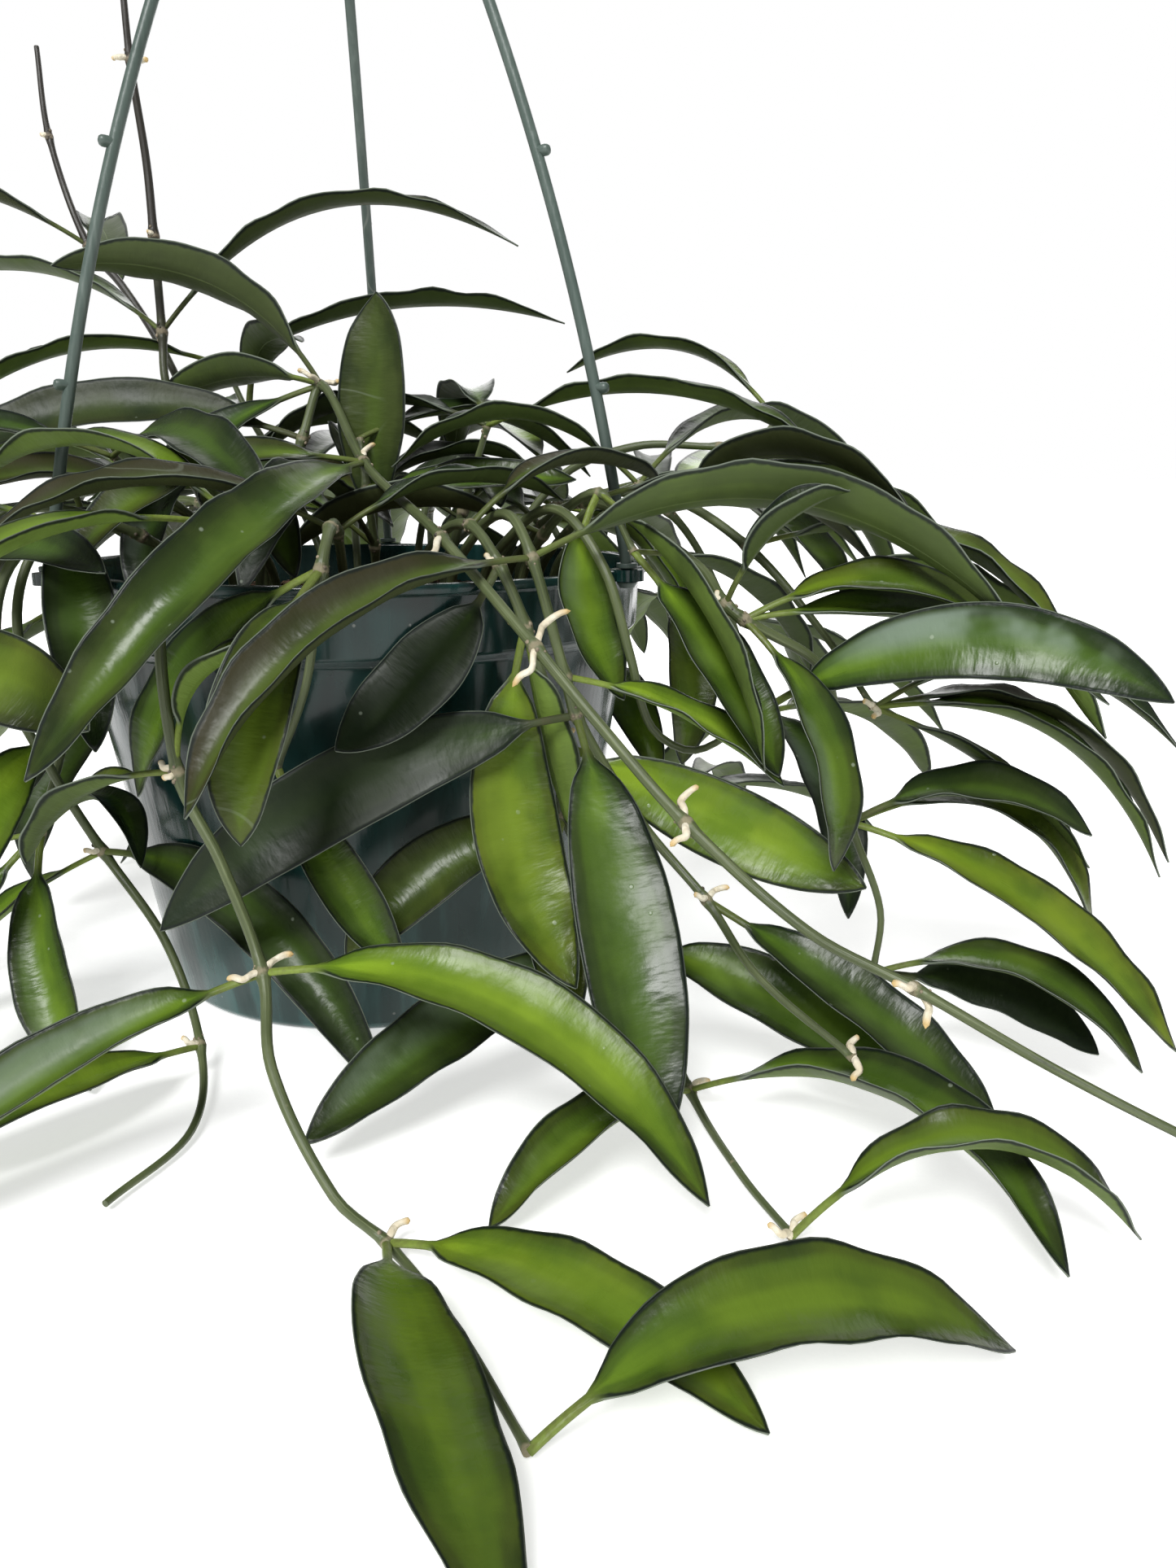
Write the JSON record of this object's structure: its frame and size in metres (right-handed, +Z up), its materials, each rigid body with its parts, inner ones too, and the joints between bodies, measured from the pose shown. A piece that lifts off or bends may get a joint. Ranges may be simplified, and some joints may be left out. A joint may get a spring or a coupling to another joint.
{
  "type": "potted hoya in a hanging basket",
  "caption": "Trailing hoya with long, leathery, channelled leaves in a tapered plastic hanging basket with a wire-thin clip-on hanger and hook",
  "frame": {"origin": "middle of the basket's flat underside, which stands on the surface", "axes": "+Z up, -Y towards the front, where the longest stems trail over the rim and along the surface, +X to the right seen from the front"},
  "size_m": [0.4945, 0.5159, 0.4867],
  "materials": {
    "basket_plastic": "glossy, dark blue-green, slightly see-through",
    "hanger_plastic": "satin grey-green",
    "growing_mix": "rough, damp bark and peat",
    "leaf_green": "waxy, satin to glossy",
    "leaf_dark": "waxy, satin to glossy"
  },
  "bodies": {
    "root": {"basket": "basket_plastic", "hanger": "hanger_plastic", "soil": "growing_mix", "stem_crown_back_left": "leaf_green", "stem_crown_front": "leaf_dark", "stem_crown_left": "leaf_dark", "stem_crown_middle": "leaf_green", "stem_crown_right": "leaf_green", "stem_far_right": "leaf_dark", "stem_rim_front": "leaf_green", "stem_rim_right": "leaf_green", "stem_shoot_right": "leaf_green", "stem_side_01": "leaf_green", "stem_side_02": "leaf_green", "stem_side_03": "leaf_dark", "stem_side_04": "leaf_green", "stem_side_05": "leaf_green", "stem_side_06": "leaf_dark", "stem_side_07": "leaf_green", "stem_side_08": "leaf_green", "stem_side_right": "leaf_green", "stem_trail_centre": "leaf_green", "stem_trail_front_left": "leaf_dark", "stem_trail_left_far": "leaf_dark", "stem_trail_left_near": "leaf_green", "stem_trail_left_thin": "leaf_green", "stem_trail_middle": "leaf_dark", "stem_trail_right": "leaf_green", "stem_whip_left_back": "leaf_dark", "stem_whip_left_front": "leaf_green", "stem_whip_long": "leaf_green"}
  },
  "joints": []
}
